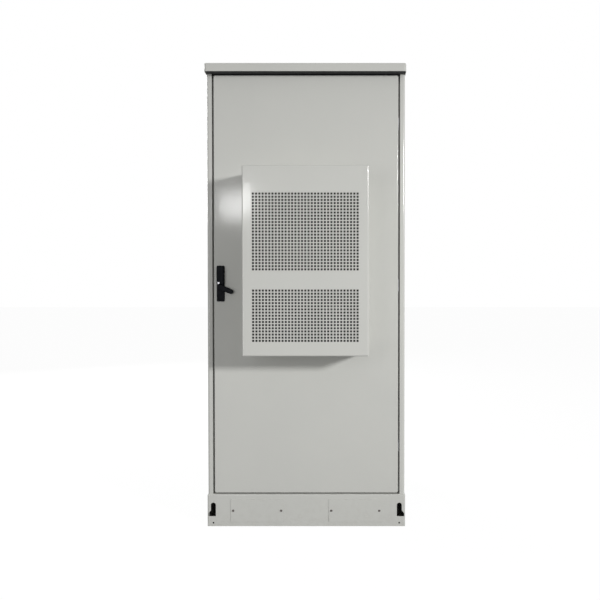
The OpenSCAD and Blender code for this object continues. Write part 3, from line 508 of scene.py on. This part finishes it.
seal_low, seal_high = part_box("door_gasket")
door_seal = grown(
    "bulb_seal", bpy.data.meshes.new("bulb_seal"), seal_tree, foot=SEAL_W, bend=SEAL_BEND,
    width=seal_high.x - seal_low.x - SEAL_W, height=seal_high.z - seal_low.z - SEAL_W,
    bulb=seal_high.y - seal_low.y, Finish=seal_rubber)
middle = (seal_low + seal_high) / 2
for vertex in door_seal.data.vertices:
    vertex.co += Vector((middle.x, seal_low.y, middle.z))
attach(door_seal, "door")
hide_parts("door_gasket")
dress(seal_rubber, "door_gasket")


# Air conditioner's works.
# A chassis and a partition bent from sheet, a compressor and two motors. The motors and compressor
# are black stove enamel; the black on the chassis, the partition and the outdoor coil's fins is
# painted shade, so the inside looks dark through the cover's holes. The indoor coil's fins are bare
# aluminium. The fan is moulded in nylon, and the blower's wheel is pressed from aluminium.

FIN_PAINTED_SHADE = (0.012, 0.012, 0.012, 1)
FIN_PAINTED_SHADE_DUSTY = (0.05, 0.048, 0.044, 1)
FIN_ROUGH = 0.45
FIN_DUST_ROUGH = 0.3
fins_painted_shade, shader, place = finish("fins_painted_shade", Metallic=0.2)
dust = place.noise(per_metre=120.0, detail=4.0).between(0.5, 0.8)
feed(shader, Base_Color=dust.blend(FIN_PAINTED_SHADE, FIN_PAINTED_SHADE_DUSTY),
     Roughness=FIN_ROUGH + dust * FIN_DUST_ROUGH)
# The outdoor coil's black is painted shade for the dark inside behind the cover's holes.
dress(fins_painted_shade, "condenser_coil")

BLACK_ENAMEL_AND_SHADE = (0.012, 0.012, 0.013, 1)
BLACK_ENAMEL_AND_SHADE_DUSTY = (0.045, 0.043, 0.040, 1)
ENAMEL_ROUGH = 0.28
ENAMEL_DUST_ROUGH = 0.35
enamel_and_painted_shade, shader, place = finish("enamel_and_painted_shade")
dust = place.noise(per_metre=60.0, detail=4.0).between(0.48, 0.75)
feed(shader, Base_Color=dust.blend(BLACK_ENAMEL_AND_SHADE, BLACK_ENAMEL_AND_SHADE_DUSTY),
     Roughness=ENAMEL_ROUGH + dust * ENAMEL_DUST_ROUGH)
# On the chassis and the partition this black is painted shade; on the compressor and the motors it
# is their enamel.
dress(enamel_and_painted_shade, "ac_chassis", "ac_partition", "compressor", "condenser_fan_motor",
      "blower_motor")
dress(mill_aluminium, "evaporator_coil", "blower_wheel")
dress(black_nylon, "condenser_fan")


# Air conditioner's cover.
# One painted sheet folded to a box, with two fields of square holes punched in its face. Three
# small zinc-plated screws hold each side to the chassis.

COVER_SCREW_R = 0.004
COVER_SCREW_H = 0.0022
cover_low, cover_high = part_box("ac_cover")
screw_low, screw_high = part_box("ac_cover_screws")
screw_middle = (screw_low + screw_high) / 2
cover_spots = []
for z in (screw_low.z + COVER_SCREW_R, screw_middle.z, screw_high.z - COVER_SCREW_R):
    for x, out in ((cover_low.x, -1), (cover_high.x, 1)):
        cover_spots.append(((x, screw_middle.y, z), (out, 0, 0)))
cover_screws = screws("cover_screw_heads", cover_spots, COVER_SCREW_R, COVER_SCREW_H, zinc_plate)
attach(cover_screws, "door")
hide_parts("ac_cover_screws")
dress(zinc_plate, "ac_cover_screws")
dress(powder_coat, "ac_cover")


# Rod lock.
# Two flat zinc-plated rods with racks cut in their ends, driven by a pinion in a galvanised
# gearbox. They slide in nylon guides on the door and catch in hooked plates on the frame.

dress(zinc_plate, "upper_lock_rod", "lower_lock_rod", "lock_pinion", "upper_lock_catch",
      "lower_lock_catch")
dress(galvanised, "gearbox_case", "gearbox_cover")
dress(black_nylon, "rod_guides")


# Swing handle.
# Base and lever are moulded in black glass-filled nylon with a fine spark-eroded grain. The base is
# fixed to the door's face, the lever sits on the end of the pinion's spindle, and the chromed key
# plug turns in the base.

LEVER_EDGE = 0.0012
LEVER_EDGE_STEPS = 3
SAME_SPOT = 0.00001
SHARP = math.radians(40)
FLAT = math.radians(1)


def softened(node, name, radius, steps):
    """A copy of a CAD node with its sharp edges rounded."""
    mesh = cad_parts[node].data.copy()
    mesh.name = name
    shape = bmesh.new()
    shape.from_mesh(mesh)
    bmesh.ops.remove_doubles(shape, verts=shape.verts, dist=SAME_SPOT)
    bmesh.ops.dissolve_limit(shape, angle_limit=FLAT, verts=shape.verts, edges=shape.edges)
    shape.to_mesh(mesh)
    shape.free()
    piece = linked(name, mesh)
    rounding = piece.modifiers.new("rounding", "BEVEL")
    rounding.width = radius
    rounding.segments = steps
    rounding.limit_method = "ANGLE"
    rounding.angle_limit = SHARP
    piece.data = settled(piece)
    piece.modifiers.clear()
    piece.data.materials.clear()
    return piece


lever = softened("swing_lever", "lever_moulding", LEVER_EDGE, LEVER_EDGE_STEPS)
lever.data.materials.append(black_nylon)
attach(lever, "lever")
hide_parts("swing_lever")
dress(black_nylon, "handle_base", "swing_lever")

CHROME = (0.56, 0.56, 0.59, 1)
CHROME_DULL = (0.44, 0.44, 0.47, 1)
CHROME_ROUGH = 0.16
SCUFF_ROUGH = 0.2
key_chrome, shader, place = finish("key_chrome", Metallic=1.0)
scuff = place.noise(per_metre=900.0, detail=3.0).between(0.5, 0.75)
feed(shader, Base_Color=scuff.blend(CHROME, CHROME_DULL),
     Roughness=CHROME_ROUGH + scuff * SCUFF_ROUGH)
dress(key_chrome, "key_plug")


# Lamps and room.
# A lamp to the right of the door, a soft one to the left, a small one that glints in the paint and
# a large soft one behind. The pale room all round looks white and gives a third of that as light.

def lamp(name, spot, aim, width, height, power, spread=180):
    """An oblong lamp in metres, watts and degrees, turned to what it lights."""
    light = bpy.data.lights.new(name, "AREA")
    light.shape = "RECTANGLE"
    light.size = width
    light.size_y = height
    light.energy = power
    light.spread = math.radians(spread)
    holder = linked(name, light)
    holder.location = spot
    holder.rotation_euler = (Vector(aim) - Vector(spot)).to_track_quat("-Z", "Y").to_euler()


lamp("right_lamp", spot=(4.86, -5.26, 2.47), aim=(0.0, -0.4, 0.85),
     width=0.7, height=0.7, power=36, spread=60)
lamp("left_lamp", spot=(-2.2, -4.2, 1.0), aim=(0.0, -0.4, 0.8),
     width=1.8, height=1.4, power=24)
lamp("left_glint", spot=(-0.764, -3.45, 1.654), aim=(-0.275, -0.4, 1.302),
     width=0.30, height=0.22, power=3.3)
lamp("rear_lamp", spot=(-2.8, 4.4, 2.7), aim=(0.0, 0.2, 0.95),
     width=2.4, height=2.0, power=130)


def shown(wire):
    """1 where the camera, a mirror or a glass looks at the surface, 0 for the light it gives."""
    looks = wire.make("ShaderNodeLightPath").socket.node.outputs
    return sum(Wire(wire.tree, looks[name])
               for name in ("Is Glossy Ray", "Is Transmission Ray", "Is Camera Ray"))


WHITE = (1, 1, 1, 1)
ROOM_LIGHT = 0.33
world = bpy.data.worlds.new("room")
bpy.context.scene.world = world
world.use_nodes = True
world.node_tree.nodes.clear()
air = Wire(world.node_tree)
sky = air.make("ShaderNodeBackground", {}, {
    "Color": WHITE, "Strength": shown(air) * (1 - ROOM_LIGHT) + ROOM_LIGHT})
air.make("ShaderNodeOutputWorld", {}, {"Surface": sky})


# Studio floor.
# A wide white sheet that looks bright and keeps the object's soft shadow. Inside the plinth's ring
# its glow is taken out as painted shade, so the sheet is dark there, where the plinth's slots let
# one see.

FLOOR_HALF = 30.0
FLOOR_GREY = (0.38, 0.38, 0.38, 1)
FLOOR_GLOW_SHARE = 0.75
FLOOR_GLOW = 1.26
RING_WALL = 0.002
RING_PAINTED_SHADE = 0.9
floor_mesh = bpy.data.meshes.new("white_floor")
corners = [(x * FLOOR_HALF, y * FLOOR_HALF, 0) for x, y in ((-1, -1), (1, -1), (1, 1), (-1, 1))]
floor_mesh.from_pydata(corners, [], [(0, 1, 2, 3)])
white_floor = linked("white_floor", floor_mesh)
sweep = bpy.data.materials.new("white_sweep")
sweep.use_nodes = True
sweep.node_tree.nodes.clear()
ground = Wire(sweep.node_tree)
matt = ground.make("ShaderNodeBsdfDiffuse", {}, {"Color": FLOOR_GREY})
glow = ground.make("ShaderNodeEmission", {}, {"Color": WHITE, "Strength": FLOOR_GLOW})
place = ground.make("ShaderNodeTexCoord", out=3)
ring_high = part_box("plinth")[1]
# Painted shade: the floor's glow is taken out under the plinth's ring.
ring_painted_shade = 1
for axis in (0, 1):
    off = ground.maths("ABSOLUTE", place.along(axis), 0.0)
    ring_painted_shade = ring_painted_shade * (1 - off.between(ring_high[axis] - RING_WALL, ring_high[axis]))
share = shown(ground) * FLOOR_GLOW_SHARE * (1 - ring_painted_shade * RING_PAINTED_SHADE)
both = ground.make("ShaderNodeMixShader", {}, {0: share, 1: matt, 2: glow})
ground.make("ShaderNodeOutputMaterial", {}, {"Surface": both})
floor_mesh.materials.append(sweep)


# Camera.
# It stands before the door, a little to the right, and looks straight ahead and slightly down. The
# picture is shifted sideways, so that the cabinet is still in its middle.

PHOTO_WIDTH = 600
FOCAL_PIXELS = 696.36
AXIS_PIXEL = 349.76
SENSOR = 36.0
CAMERA_SPOT = (0.177, -3.223, 0.9764)
PITCH_DOWN = 1.105
lens = bpy.data.cameras.new("photo_camera")
lens.sensor_width = SENSOR
lens.sensor_fit = "HORIZONTAL"
lens.lens = SENSOR * FOCAL_PIXELS / PHOTO_WIDTH
lens.shift_x = (PHOTO_WIDTH / 2 - AXIS_PIXEL) / PHOTO_WIDTH
camera = linked("photo_camera", lens)
camera.location = CAMERA_SPOT
camera.rotation_euler = (math.radians(90 - PITCH_DOWN), 0, 0)
bpy.context.scene.camera = camera
bpy.context.scene.view_settings.view_transform = "Standard"
